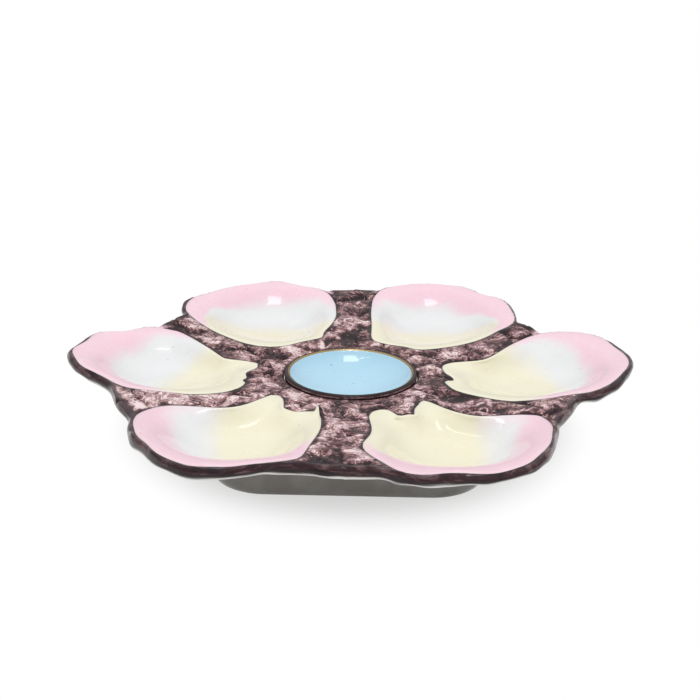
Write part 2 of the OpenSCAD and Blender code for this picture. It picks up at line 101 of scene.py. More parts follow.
class PlateColours(bpy.types.PropertyGroup):
    """Colours of the glazes and the gilding"""
    pink: colour_property("Pink", "Blush at a well's outer end", (0.95, 0.65, 0.75))
    white: colour_property("White", "Glaze in the middle of a well", (0.84, 0.85, 0.86))
    yellow: colour_property("Yellow", "Glaze at a well's inner end", (0.90, 0.86, 0.65))
    blue: colour_property("Blue", "Glaze of the sauce well", (0.45, 0.72, 0.88))
    rock_dark: colour_property("Dark rock", "Brush lines and outlines", (0.020, 0.009, 0.012))
    rock_mid: colour_property("Rock", "Mauve brown of the rock", (0.225, 0.105, 0.11))
    # Pale rock: wiped glaze on the lumps' tops, and partly painted light there.
    rock_pale: colour_property("Pale rock", "Wiped tops of the lumps", (0.63, 0.40, 0.41))
    border: colour_property("Border", "Painted border of the plate", (0.045, 0.016, 0.021))
    # This grey is darker than the glaze's own grey-white: painted shade on the foot, the underside
    # and the bellies.
    foot: colour_property("Foot", "Grey-white glaze of the foot and underside", (0.25, 0.232, 0.21))
    clay: colour_property("Clay", "Bare clay on the foot's face", (0.66, 0.60, 0.52))
    gilt: colour_property("Gilt", "Fired gilding", (0.40, 0.29, 0.14))


class PlateStage(bpy.types.PropertyGroup):
    """Floor, light and camera"""
    floor_size: length_property("Floor", "Width of the floor", 8.0)
    soft_power: FloatProperty(name="Soft light", description="Power of the soft key light",
                              default=1.8, unit="POWER")
    sky: FloatProperty(name="Sky", description="Strength of the even light all round", default=0.93)
    camera_distance: length_property("Distance", "Camera to the sauce well's rim", 0.420)
    camera_height: FloatProperty(name="Elevation", description="Camera's angle over the floor",
                                 default=math.radians(21.5), subtype="ANGLE")


def sizes():
    """The sizes set in the scene."""
    return bpy.context.scene.plate_sizes


def colours():
    """The colours set in the scene."""
    return bpy.context.scene.plate_colours


# Shader sums on sockets

class Number:
    """A number in a node tree. Each sum adds one Math node."""

    def __init__(self, paint, socket):
        self.paint = paint
        self.socket = socket

    def math(self, operation, *others):
        """A Math node on this number and the others."""
        node = self.paint.node("Math", {"operation": operation}, dict(enumerate((self, *others))))
        return Number(self.paint, node.outputs[0])

    def __add__(self, other):
        return self.math("ADD", other)

    def __sub__(self, other):
        return self.math("SUBTRACT", other)

    def __mul__(self, other):
        return self.math("MULTIPLY", other)

    def __truediv__(self, other):
        return self.math("DIVIDE", other)

    def __rsub__(self, other):
        node = self.paint.node("Math", {"operation": "SUBTRACT"}, {0: other, 1: self})
        return Number(self.paint, node.outputs[0])

    __radd__ = __add__
    __rmul__ = __mul__

    def rise(self, low, high):
        """0 below low, 1 above high and smooth between; falls instead if low is above high."""
        values = {"Value": self, "From Min": low, "From Max": high}
        node = self.paint.node("MapRange", {"interpolation_type": "SMOOTHSTEP"}, values)
        return Number(self.paint, node.outputs[0])


class Paint:
    """The node tree of a material, or of the world."""

    def __init__(self, owner, output="OutputMaterial"):
        owner.use_nodes = True
        self.owner = owner
        self.tree = owner.node_tree
        self.tree.nodes.clear()
        self.output = self.node(output)

    def node(self, kind, settings=None, values=None):
        """A new node: its settings first, then the values or links of its inputs."""
        node = self.tree.nodes.new("ShaderNode" + kind)
        for name, value in (settings or {}).items():
            if name == "stops":
                ramp = node.color_ramp
                while len(ramp.elements) < len(value):
                    ramp.elements.new(0)
                for element, (place, colour) in zip(ramp.elements, value):
                    element.position = place
                    element.color = (*colour, 1)
            else:
                setattr(node, name, value)
        for key, value in (values or {}).items():
            socket = node.inputs[key]
            if isinstance(value, Number):
                self.tree.links.new(value.socket, socket)
            elif isinstance(value, bpy.types.NodeSocket):
                self.tree.links.new(value, socket)
            else:
                socket.default_value = value
        return node

    def number(self, name):
        """The attribute of that name."""
        return Number(self, self.node("Attribute", {"attribute_name": name}).outputs["Fac"])

    def place(self):
        """The place on the piece, in metres."""
        return self.node("TexCoord").outputs["Object"]

    def height_of(self, vector):
        """The height of a place or a direction."""
        return Number(self, self.node("SeparateXYZ", None, {"Vector": vector}).outputs["Z"])

    def either_ray(self, *kinds):
        """1 for rays of either kind and 0 for others."""
        rays = self.node("LightPath")
        first, second = (Number(self, rays.outputs[f"Is {kind} Ray"]) for kind in kinds)
        return first.math("MAXIMUM", second)

    def noise(self, vector, size, detail=3.0, rough=0.5, swirl=0.0):
        """Noise whose blots are about size metres wide."""
        node = self.node("TexNoise", None, {
            "Vector": vector, "Scale": 1 / size, "Detail": detail, "Roughness": rough,
            "Distortion": swirl})
        return Number(self, node.outputs["Fac"])

    def warped(self, vector, size, by):
        """The place moved to and fro by up to about by metres."""
        blots = self.node("TexNoise", None, {"Vector": vector, "Scale": 1 / size, "Detail": 2.0})
        middle = self.node("VectorMath", {"operation": "SUBTRACT"},
                           {0: blots.outputs["Color"], 1: (0.5, 0.5, 0.5)})
        shift = self.node("VectorMath", {"operation": "SCALE"},
                          {0: middle.outputs[0], "Scale": 2 * by})
        moved = self.node("VectorMath", {"operation": "ADD"}, {0: vector, 1: shift.outputs[0]})
        return moved.outputs[0]

    def mixed(self, share, first, second):
        """The first colour turning into the second as share goes to 1."""
        def colour(value):
            return (*value, 1) if len(value) == 3 else value
        node = self.node("Mix", {"data_type": "RGBA"}, {
            0: share,
            6: first if isinstance(first, bpy.types.NodeSocket) else colour(first),
            7: second if isinstance(second, bpy.types.NodeSocket) else colour(second)})
        return node.outputs[2]

    def bumped(self, height, distance, strength=1.0):
        """A normal that follows the height, in metres at height 1."""
        node = self.node("Bump", None, {
            "Height": height, "Distance": distance, "Strength": strength})
        return node.outputs["Normal"]

    def surface(self, **values):
        """The Principled shader; its sockets' names are given with _ for a space."""
        named = {key.replace("_", " "): value for key, value in values.items()}
        return self.shown(self.node("BsdfPrincipled", None, named))

    def shown(self, shader):
        """Ends the tree in a shader."""
        self.tree.links.new(shader.outputs[0], self.output.inputs["Surface"])
        return self.owner


# Mesh work

# How near two corners count as one, and how far a face's normal leans up on a top side.
CLOSE = 0.02 * MM
FACES_UP = 0.3
# The bend between triangles that may join, their shape's, and those of sharp edges.
JOIN_BEND = math.radians(50)
JOIN_SHAPE = math.radians(60)
CREASE_BEND = math.radians(40)
SHARP_BEND = math.radians(62)


def merged_form(node):
    """A copy of a CAD node with its corners merged and its triangles joined in pairs."""
    form = bmesh.new()
    form.from_mesh(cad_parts[node].data)
    bmesh.ops.remove_doubles(form, verts=form.verts, dist=CLOSE)
    form.normal_update()
    bmesh.ops.join_triangles(
        form, faces=form.faces, angle_face_threshold=JOIN_BEND, angle_shape_threshold=JOIN_SHAPE)
    return form


def tree_of(points):
    """A search tree over points, looked at from above."""
    tree = kdtree.KDTree(len(points))
    for i, p in enumerate(points):
        tree.insert((p[0], p[1], 0), i)
    tree.balance()
    return tree


def flat_distance(tree, p):
    """The distance from a point to the nearest one in a tree, looked at from above."""
    return tree.find((p[0], p[1], 0))[2]


def contact_tree(node):
    """The corners of every other node, for finding where two pieces meet."""
    corners = [v.co for name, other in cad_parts.items() if name != node
               for v in other.data.vertices]
    tree = kdtree.KDTree(len(corners))
    for i, p in enumerate(corners):
        tree.insert(p, i)
    tree.balance()
    return tree


def keep_contacts_sharp(form, node):
    """Creases the edges at which this piece meets another, so both keep the same line."""
    tree = contact_tree(node)
    meets = {v for v in form.verts if tree.find(v.co)[2] < CLOSE}
    crease = form.edges.layers.float.new("crease_edge")
    for edge in form.edges:
        if set(edge.verts) <= meets and edge.calc_face_angle(0) > CREASE_BEND:
            edge[crease] = 1
    return meets


def mark(form, name, value_of):
    """Stores a number at each corner."""
    layer = form.verts.layers.float.new(name)
    for v in form.verts:
        v[layer] = value_of(v)


def made_piece(form, name, levels):
    """A smooth mesh object from a form, subdivided levels times for good."""
    mesh = bpy.data.meshes.new(name)
    form.to_mesh(mesh)
    form.free()
    piece = bpy.data.objects.new(name, mesh)
    bpy.context.scene.collection.objects.link(piece)
    if levels:
        smooth = piece.modifiers.new("Smooth", "SUBSURF")
        smooth.levels = smooth.render_levels = levels
        smooth.use_limit_surface = True
        bpy.context.view_layer.update()
        graph = bpy.context.evaluated_depsgraph_get()
        piece.data = bpy.data.meshes.new_from_object(piece.evaluated_get(graph))
        piece.modifiers.clear()
        piece.data.name = name
    piece.data.shade_smooth()
    piece.data.set_sharp_from_angle(angle=SHARP_BEND)
    return piece


def set_numbers(piece, name, values):
    """Stores a number at each corner of a finished piece."""
    attributes = piece.data.attributes
    layer = attributes.get(name) or attributes.new(name, "FLOAT", "POINT")
    layer.data.foreach_set("value", values)


def get_numbers(piece, name):
    """The numbers stored at the corners of a finished piece."""
    values = [0.0] * len(piece.data.vertices)
    piece.data.attributes[name].data.foreach_get("value", values)
    return values


# Passes that smooth the inside of a well, and the border where it rolls over.
BOWL_PASSES = 120
BORDER_PASSES = 5


def soften(piece, chosen, times):
    """Smooths the chosen corners of a finished piece, times over."""
    form = bmesh.new()
    form.from_mesh(piece.data)
    corners = [v for v, take in zip(form.verts, chosen) if take]
    for _ in range(times):
        bmesh.ops.smooth_vert(
            form, verts=corners, factor=0.5, use_axis_x=True, use_axis_y=True, use_axis_z=True)
    form.to_mesh(piece.data)
    form.free()


def place_piece(piece, material, slot, *nodes):
    """Gives a piece its finish and its body, and hides the CAD nodes it stands for."""
    piece.data.materials.clear()
    piece.data.materials.append(material)
    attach(piece, BODY)
    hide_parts(*nodes)


def well_middle(node):
    """The middle of a well's floor: the corner at which the most edges meet."""
    form = merged_form(node)
    top = max(form.verts, key=lambda v: (len(v.link_edges), v.co.z))
    middle = top.co.copy()
    form.free()
    return middle


# Pushes that curl the flaps at a well's inner end. Each lies at degrees from outward and
# millimetres from the well's middle; its way in degrees, length, reach and lift follow.
FLAP_PUSHES = {
    "front_right": (
        (-163.5, 34.4, 130, 2.2, 9), (-160, 26.4, -35, 2.6, 5.5), (-176, 28.4, -135, 0.9, 8),
        (-159, 25.0, -40, 0.3, 2.2), (-174, 22.8, -20, 0.9, 2.2)),
    "front_left": ((153.5, 32.2, -150, 1.5, 2.4, 4.0),),
    "left": ((155, 37.2, 0, 1.8, 3.3),),
    "right": ((-164, 34.4, -75, 2.4, 4.5), (-160, 38, 120, 1.6, 5), (-158.5, 34.6, -60, 1.2, 2.2)),
}


def turned_way(outward, degrees, length):
    """A level vector of that length, turned by degrees from outward."""
    turn = Matrix.Rotation(outward + math.radians(degrees), 3, "Z")
    return turn @ Vector((length, 0, 0))


def flap_pushes():
    """The pushes as places, shifts and reaches in the plate's own frame."""
    pushes = []
    for well, rows in FLAP_PUSHES.items():
        middle = well_middle("well_" + well)
        outward = math.atan2(middle.y, middle.x)
        for degrees, away, way, length, reach, *lift in rows:
            lies = turned_way(outward, degrees, away * MM)
            shift = turned_way(outward, way, length * MM)
            shift.z = sum(lift) * MM
            pushes.append(((middle + lies).xy, shift, reach * MM))
    return pushes


def ruffle(points, pushes):
    """Moves points by every push, alike for all pieces that share them."""
    for p in points:
        for place, shift, reach in pushes:
            p += shift * eased(1 - (p.xy - place).length / reach)


def rim_loop(node):
    """Points all along a well's rim, a fraction of a millimetre apart."""
    form = merged_form(node)
    tree = contact_tree(node)
    middle = well_middle(node)
    wall = [v.co.copy() for v in form.verts if tree.find(v.co)[2] < CLOSE]
    form.free()
    turn = {}
    for p in wall:
        angle = math.atan2(p.y - middle.y, p.x - middle.x)
        key = round(angle, 3)
        if key not in turn or p.z > turn[key].z:
            turn[key] = p
    corners = [turn[key] for key in sorted(turn)]
    return spaced(corners, 0.3 * MM)


def spaced(corners, step):
    """A closed line of corners as points no more than step apart."""
    points = []
    for a, b in zip(corners, corners[1:] + corners[:1]):
        count = max(1, math.ceil((b - a).length / step))
        points += [a.lerp(b, i / count) for i in range(count)]
    return points


def eased(x):
    """0 below 0, 1 above 1 and smooth between."""
    x = max(0.0, min(1.0, x))
    return x * x * (3 - 2 * x)


def grown(distance, start, width):
    """0 up to start, 1 past start and width together, in millimetres, and smooth between."""
    return eased((distance - start * MM) / (width * MM))


# Finishes

# The strands along the border: the drum they are drawn round, and how they crowd across it.
STRAND_RADIUS = 30 * MM
STRAND_ACROSS = 1.6


def well_glaze():
    """Pink at the outer end, white in the middle and yellow at the inner end."""
    size, colour = sizes(), colours()
    paint = Paint(bpy.data.materials.new("well_glaze"))
    place = paint.place()
    outward = paint.number("outward")
    to_pink = paint.number("to_pink")
    to_white = paint.number("to_white")
    from_rim = paint.number("from_rim")
    inside = paint.number("inside")
    drift = paint.noise(place, 22 * MM, 2.0) - 0.5
    squeezed = paint.node("Mapping", None, {"Vector": place, "Scale": (1, 3, 1)}).outputs["Vector"]
    streak = paint.noise(squeezed, 6 * MM, 4.0) - 0.5
    reach = outward.rise(-6 * MM, 36 * MM)
    band = reach * size.blush + drift * (5 * MM) + streak * (1.2 * MM) + 1.5 * MM
    soft = to_pink.rise(-24 * MM, 0) * (4 * MM) + 1.2 * MM
    pink = ((from_rim - band) / soft).rise(1, -1) * outward.rise(-12 * MM, 5 * MM)
    end = (to_pink + drift * (8 * MM)).rise(-6 * MM, 6 * MM)
    pink = pink.math("MAXIMUM", end)
    yellow = (to_white + drift * (9 * MM)).rise(size.blend / 2, size.blend / -2)
    tone = paint.mixed(yellow, colour.white, colour.yellow)
    tone = paint.mixed(pink, tone, colour.pink)
    faint = paint.noise(place, 3 * MM, 3.0)
    tone = paint.mixed(faint.rise(0.35, 0.75) * 0.10, tone, (1, 1, 1))
    speck = paint.noise(place, 1.3 * MM, 0.0).rise(0.83, 0.86)
    tone = paint.mixed(speck * 0.25, tone, colour.rock_mid)
    # An off-white line on the crest at the rim: unpainted glaze, and also a painted highlight on the
    # crest's rounding.
    bare = from_rim.rise(0.55 * MM, 0.25 * MM)
    tone = paint.mixed(bare * 0.55, tone, (0.90, 0.89, 0.87))
    # The well's underside takes the foot's colour, darkened as painted shade.
    tone = paint.mixed(1 - inside.rise(0.45, 0.55), tone, colour.foot)
    ripple = paint.noise(place, 9 * MM, 2.0)
    return paint.surface(
        Base_Color=tone, Roughness=0.32, Coat_Weight=0.7, Coat_Roughness=0.045, IOR=1.45,
        Specular_IOR_Level=0.3, Normal=paint.bumped(ripple, 0.35 * MM))


def round_the_edge(paint, place, from_edge):
    """A place for noise that runs along the plate's edge, long that way and narrow across."""
    flat = paint.node("VectorMath", {"operation": "MULTIPLY"}, {0: place, 1: (1, 1, 0)})
    turn = paint.node("VectorMath", {"operation": "NORMALIZE"}, {0: flat.outputs[0]})
    across = (from_edge - paint.height_of(place)) * STRAND_ACROSS
    across = paint.node("CombineXYZ", None, {"Z": across})
    along = paint.node("VectorMath", {"operation": "SCALE"},
                       {0: turn.outputs[0], "Scale": STRAND_RADIUS})
    moved = paint.node("VectorMath", {"operation": "ADD"},
                       {0: along.outputs[0], 1: across.outputs[0]})
    return moved.outputs[0]


def rock_glaze():
    """Mauve brown, wiped pale on the lumps, with dark brush lines and a dark border. Painted light
    and shade: lumps paler high and darker low, whitish highlight strokes, shade along the wells'
    rims, a near-black lower border and a grey underside.
    """
    size, colour = sizes(), colours()
    paint = Paint(bpy.data.materials.new("rock_glaze"))
    place = paint.place()
    relief = paint.number("relief")
    ring = paint.number("ring")
    gap = paint.number("gap")
    from_rim = paint.number("from_rim")
    from_edge = paint.number("from_edge")
    top = paint.number("top")
    down = paint.number("down")
    patch = paint.number("patch")
    behind = paint.number("behind")
    warped = paint.warped(place, 14 * MM, 5 * MM)
    broad = paint.noise(warped, 8 * MM, 2.0)
    brush = paint.noise(warped, 4.6 * MM, 4.0, 0.60, 2.0)
    fine = paint.noise(warped, 1.0 * MM, 2.0, 0.5, 1.2)
    swirl = paint.noise(warped, 6 * MM, 2.0, 0.5, 2.2)
    growth = (swirl * 46 + ring * 6).math("SINE")
    lines = (swirl - 0.5).math("ABSOLUTE").rise(0.030, 0.008)
    scribble = paint.noise(warped, 2.4 * MM, 1.0, 0.5, 2.5)
    lines = lines + (scribble - 0.5).math("ABSOLUTE").rise(0.05, 0.015) * 0.6
    # The relief share paints high lumps paler and low places darker: painted light and shade over
    # the modelled relief.
    tone = (relief * 0.32 + patch + broad * 1.1 + brush * 1.25 + fine * 0.28 + growth * 0.09
            - lines * 0.20 - 0.91)
    # The whitish top stop is partly a painted highlight on the lumps.
    rock = paint.node("ValToRGB", {"stops": [
        (0.24, colour.rock_dark), (0.38, (0.085, 0.033, 0.038)), (0.50, colour.rock_mid),
        (0.60, (0.39, 0.225, 0.23)), (0.71, colour.rock_pale), (0.84, (0.93, 0.77, 0.77))]},
        {"Fac": tone}).outputs["Color"]
    wobble = (brush - 0.5) * (1.4 * MM)
    seam = (gap + (brush - 0.5) * 0.2).rise(0.075, 0.02) * broad.rise(0.68, 0.46)
    rock = paint.mixed(seam * 0.85, rock, colour.rock_dark)
    # Thin whitish strokes: painted highlights on the rock.
    glint_strokes = (swirl - 0.56).math("ABSOLUTE").rise(0.010, 0.003) * brush.rise(0.50, 0.58)
    rock = paint.mixed(glint_strokes * 0.6, rock, (0.92, 0.80, 0.80))
    # A dark line painted round each well, widened by noise into painted shade along the rims.
    spread = broad.rise(0.62, 0.38) * (1.3 * MM) + size.outline
    outline = (from_rim + wobble * 0.7 - spread).rise(0.5 * MM, -0.5 * MM)
    rock = paint.mixed(outline * 0.85, rock, colour.rock_dark)
    rolled = from_edge + wobble + (broad - 0.45) * (4 * MM)
    rolled = rolled.rise(size.border + 0.6 * MM, size.border - 0.5 * MM)
    strand = paint.noise(round_the_edge(paint, place, from_edge), 2.2 * MM, 3.0, 0.6, 0.6)
    dark = paint.node("ValToRGB", {"stops": [
        (0.36, colour.rock_dark), (0.52, colour.border), (0.66, (0.15, 0.085, 0.09))]},
        {"Fac": strand + (broad - 0.5) * 0.4}).outputs["Color"]
    # Where the border turns down off the top, it is painted near-black as shade.
    dark = paint.mixed(top.rise(0.80, 0.50) * 0.8, dark, (0.012, 0.006, 0.008))
    rock = paint.mixed(rolled, rock, dark)
    pink = behind * top.rise(0.55, 0.80)
    rock = paint.mixed(pink * 0.9, rock, colour.pink)
    # Underside: white glaze near the edge, and further in the foot's darkened colour as painted
    # shade.
    under = down * top.rise(0.60, 0.35)
    white = paint.mixed(from_edge.rise(0.5 * MM, 1.3 * MM), (0.80, 0.78, 0.75), colour.foot)
    tone = paint.mixed(under, rock, white)
    strokes = (brush * 0.8 + fine * 0.15) * (1 - rolled) + strand * rolled * 1.6
    return paint.surface(
        Base_Color=tone, Roughness=0.38 - rolled * 0.12, Coat_Weight=rolled * 0.2 + 0.25,
        Coat_Roughness=0.05, IOR=1.45, Specular_IOR_Level=0.1,
        Normal=paint.bumped(strokes, 0.5 * MM, 0.7))


def sauce_glaze():
    """Pale blue in the bowl, dark and mauve on the rim, and grey beneath: the foot's colour,
    darkened as painted shade.
    """
    size, colour = sizes(), colours()
    paint = Paint(bpy.data.materials.new("sauce_glaze"))
    place = paint.place()
    along = paint.number("along")
    cloud = paint.noise(place, 12 * MM, 3.0)
    tone = paint.mixed(cloud.rise(0.35, 0.7) * 0.12, colour.blue, (0.62, 0.84, 0.95))
    speck = paint.noise(place, 1.1 * MM, 0.0).rise(0.80, 0.83)
    tone = paint.mixed(speck * 0.4, tone, colour.rock_mid)
    brush = paint.noise(place, 1.6 * MM, 4.0)
    tone = paint.mixed(along.rise(0.8, 1.1), tone, colour.rock_dark)
    slip = along + (cloud - 0.5) * 0.8
    mauve = slip.rise(3.3, 3.6) * slip.rise(4.0, 3.8) + slip.rise(4.3, 4.6)
    brown = paint.mixed(brush.rise(0.35, 0.65), (0.10, 0.05, 0.055), (0.34, 0.20, 0.21))
    tone = paint.mixed(mauve, tone, brown)
    # The belly takes the foot's colour, darkened as painted shade.
    tone = paint.mixed(along.rise(4.6, 4.9), tone, colour.foot)
    ripple = paint.noise(place, 10 * MM, 2.0)
    return paint.surface(
        Base_Color=tone, Roughness=0.30, Coat_Weight=0.9 - along.rise(0.8, 1.1) * 0.7,
        Coat_Roughness=0.02, IOR=1.45, Specular_IOR_Level=0.2,
        Normal=paint.bumped(ripple, 0.05 * MM))


def gilding():
    """Fired gilding, a little thin in places."""
    paint = Paint(bpy.data.materials.new("gilding"))
    place = paint.place()
    wear = paint.noise(place, 2.5 * MM, 4.0)
    tone = paint.mixed(wear.rise(0.5, 0.72), colours().gilt, (0.42, 0.27, 0.10))
    rough = wear.rise(0.4, 0.7) * 0.2 + 0.22
    return paint.surface(Base_Color=tone, Metallic=0.9, Roughness=rough,
                         Normal=paint.bumped(wear, 0.05 * MM))


def foot_glaze():
    """Grey-white glaze darkened as painted shade, with lighter clouds as painted reflections, and
    bare clay on the face that rests on the table.
    """
    size, colour = sizes(), colours()
    paint = Paint(bpy.data.materials.new("foot_glaze"))
    place = paint.place()
    height = paint.height_of(place)
    cloud = paint.noise(place, 14 * MM, 3.0)
    # Lighter clouds: painted reflections on the shaded foot.
    tone = paint.mixed(cloud.rise(0.4, 0.7) * 0.25, colour.foot, (0.52, 0.51, 0.47))
    grain = paint.noise(place, 0.8 * MM, 4.0)
    edge = height + grain * (0.5 * MM)
    edge = edge.rise(size.foot_face + 0.35 * MM, size.foot_face + 0.1 * MM)
    clay = paint.mixed(grain.rise(0.5, 0.75) * 0.4, colour.clay, (0.40, 0.34, 0.28))
    tone = paint.mixed(edge, tone, clay)
    rough = edge * 0.5 + 0.3
    coat = (1 - edge) * 0.7
    return paint.surface(
        Base_Color=tone, Roughness=rough, Coat_Weight=coat, Coat_Roughness=0.04, IOR=1.45,
        Specular_IOR_Level=0.3, Normal=paint.bumped(cloud + grain * 0.1, 0.3 * MM))


# Pieces

def relief_at(p):
    """Height share of the rock's lumps at a point, the distance from the middle of its lump,
    how much nearer that is than the next one's, and how pale the lump is painted.

    The lumps lie on a drum round the Z axis, so they are long in a lane and wide at its end."""
    size = sizes()
    reach, turn = math.hypot(p.x, p.y), math.atan2(p.y, p.x)
    drum = Vector((math.cos(turn), math.sin(turn), 0)) * size.lane_pitch
    q = (drum + Vector((0, 0, reach))) / size.lump
    q += 0.55 * noise.noise_vector(q * 1.1 + Vector((7, 3, 1)))
    distances, middles = noise.voronoi(q)
    near, gap = distances[0], distances[1] - distances[0]
    dome = 1 - min(1.0, near / 0.85) ** 2
    lean = (q - middles[0]).dot(noise.noise_vector(middles[0] * 5.3))
    fold = 1 - 4 * abs(noise.noise(q * 2.2 + Vector((1, 9, 4))))
    height = eased(gap / 0.14) * (0.50 + 0.35 * dome) + 0.9 * lean + 0.18 * fold
    patch = 0.30 * noise.noise(middles[0] * 3.1)
    return height, near, gap, patch


# Lanes painted darker or paler than the rest: the lane's turn in degrees and its tone.
LANE_TONES = ((90, -0.14), (154, -0.02), (-90, -0.07))
LANE_SPREAD = 24


def lane_tone(p):
    """How much paler the rock is painted at a point for the lane it lies in."""
    turn = math.degrees(math.atan2(p.y, p.x))
    out = grown(p.xy.length, 30, 15)
    return out * sum(
        tone * eased(1 - abs(turn - lane) / LANE_SPREAD) for lane, tone in LANE_TONES)


def behind_share(p, rims, rim, border):
    """1 on the border behind a back well, where it is tucked down and pink, and 0 elsewhere."""
    share = grown(p.y, 12, 14) * (1 - grown(rim, 2.3, 1.2)) * (1 - grown(border, 2.8, 1.2))
    from_well = p.xy - rims.find((p.x, p.y, 0))[0].xy
    return share * eased((from_well.normalized().y - 0.25) / 0.3)


def strand_depth(p, rim, border):
    """Depth of the strands modelled along the border at a point."""
    size = sizes()
    flat = p.xy.normalized() * STRAND_RADIUS
    across = (border - p.z) * STRAND_ACROSS
    strand = noise.noise(Vector((flat.x, flat.y, across)) / (3.2 * MM))
    fade = 1 - eased((border - size.border) / size.border)
    return size.strand * (strand - 0.5) * grown(rim, 0, 1.5) * fade


# The height share at which the rock is neither raised nor sunk.
LEVEL_SHARE = 0.45


class PLATE_OT_rock_ground(bpy.types.Operator):
    """Models and paints the ground of rock between the wells, with its dark border"""
    bl_idname = "plate.rock_ground"
    bl_label = "Rock ground"

    def execute(self, context):
        node = "rock_ground"
        form = merged_form(node)
        meets = keep_contacts_sharp(form, node)
        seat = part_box("sauce_well")[1].x
        walls = {f for f in form.faces if abs(f.normal.z) < FACES_UP and not set(f.verts) & meets}
        outer = [v.co.copy() for v in form.verts
                 if v.co.xy.length > 2 * seat and not walls.isdisjoint(v.link_faces)]
        # A list keeps the mesh's order for corners at one angle, so each run joins them alike.
        around = sorted(outer, key=lambda p: math.atan2(p.y, p.x))
        edge = tree_of(spaced(around, 0.4 * MM))
        mark(form, "top", lambda v: float(any(f.normal.z > FACES_UP for f in v.link_faces)))
        piece = made_piece(form, node + "_glazed", 2)
        pushes = flap_pushes()
        ruffle([v.co for v in piece.data.vertices], pushes)
        around_wells = [p for well in WELLS for p in rim_loop("well_" + well)]
        ruffle(around_wells, pushes)
        rims = tree_of(around_wells)
        top = get_numbers(piece, "top")
        numbers = {name: [] for name in (
            "from_rim", "from_edge", "relief", "ring", "gap", "patch", "behind")}
        size = sizes()
        # Without a seed the vector noise follows the clock, and each run gets other lumps.
        noise.seed_set(size.seed)
        for v, share in zip(piece.data.vertices, top):
            rim, border = flat_distance(rims, v.co), flat_distance(edge, v.co)
            inner = math.hypot(v.co.x, v.co.y) - seat
            lumps, near, gap, patch = relief_at(v.co)
            patch += lane_tone(v.co)
            behind = behind_share(v.co, rims, rim, border)
            wave = 1.6 * noise.noise(v.co / (8 * MM))
            on_top = eased((share - 0.5) * 2)
            not_under = eased(share * 2)
            fade = grown(rim, 0, 2.6) * grown(border, 2.2, 3.0) * grown(inner, 2.6, 3) * on_top
            bead = math.sin(math.pi * min(1, border / size.border)) * grown(rim, 0, 1.2)
            bead *= 1 - behind
            step = grown(inner, 0, 0.8) * (1 - grown(inner, 2.4, 1.2))
            v.co.z += size.relief * (lumps - LEVEL_SHARE) * fade
            v.co.z += size.bead * (bead * (0.7 + wave) + step * 0.8) * on_top
            v.co.z -= size.tuck * behind * grown(rim, 0, 0.9) * not_under
            v.co.z -= size.lip * (0.9 + 0.6 * wave) * (1 - grown(border, 0, 4)) * (1 - not_under)
            if border < 2 * size.border:
                depth = strand_depth(v.co, rim, border)
                v.co.xy += v.co.xy.normalized() * depth
                v.co.z += depth
            numbers["from_rim"].append(min(rim, max(0, inner)))
            numbers["from_edge"].append(border)
            numbers["relief"].append(LEVEL_SHARE + (lumps - LEVEL_SHARE) * fade)
            numbers["ring"].append(near)
            numbers["gap"].append(gap + 1 - fade)
            numbers["patch"].append(patch)
            numbers["behind"].append(behind)
        for name, values in numbers.items():
            set_numbers(piece, name, values)
        rolled = [b < 2.2 * MM and r > 0.6 * MM
                  for b, r in zip(numbers["from_edge"], numbers["from_rim"])]
        soften(piece, rolled, BORDER_PASSES)
        set_numbers(piece, "down",
                    [eased((-v.normal.z - 0.1) / 0.3) for v in piece.data.vertices])
        place_piece(piece, rock_glaze(), "rock_glaze", node)
        return {"FINISHED"}


# How each well's colours lie: the way from yellow to pink in degrees, and how far from the
# well's middle, in millimetres that way, yellow turns to white and white to pink.
COLOUR_WAYS = {
    "right": (18, 13, 38), "back_right": (88, 1, 32), "back_left": (90, 1, 32),
    "left": (160, 1, 35), "front_left": (195, 13, 33), "front_right": (346, 15, 29)}


class PLATE_OT_oyster_wells(bpy.types.Operator):
    """Models and paints the six oyster wells"""
    bl_idname = "plate.oyster_wells"
    bl_label = "Oyster wells"

    def execute(self, context):
        glaze = well_glaze()
        pushes = flap_pushes()
        for well in WELLS:
            node = "well_" + well
            form = merged_form(node)
            keep_contacts_sharp(form, node)
            mark(form, "inside",
                 lambda v: float(any(f.normal.z > FACES_UP for f in v.link_faces)))
            piece = made_piece(form, node + "_glazed", 2)
            middle = well_middle(node)
            outward = Vector((middle.x, middle.y, 0)).normalized()
            corners = piece.data.vertices
            ruffle([v.co for v in corners], pushes)
            rim = rim_loop(node)
            ruffle(rim, pushes)
            rim = tree_of(rim)
            set_numbers(piece, "outward", [(v.co - middle).dot(outward) for v in corners])
            turn, white, pink = COLOUR_WAYS[well]
            way = Matrix.Rotation(math.radians(turn), 3, "Z") @ Vector((1, 0, 0.7))
            side = [(v.co - middle).dot(way) for v in corners]
            set_numbers(piece, "to_white", [s - white * MM for s in side])
            set_numbers(piece, "to_pink", [s - pink * MM for s in side])
            depth = [flat_distance(rim, v.co) for v in corners]
            set_numbers(piece, "from_rim", depth)
            inside = get_numbers(piece, "inside")
            calm = [all((v.co.xy - place).length > 0.5 * reach for place, _, reach in pushes)
                    for v in corners]
            soften(piece, [c and d > 1.5 * MM and i > 0.9
                           for c, d, i in zip(calm, depth, inside)], BOWL_PASSES)
            place_piece(piece, glaze, "well_glaze", node)
        return {"FINISHED"}


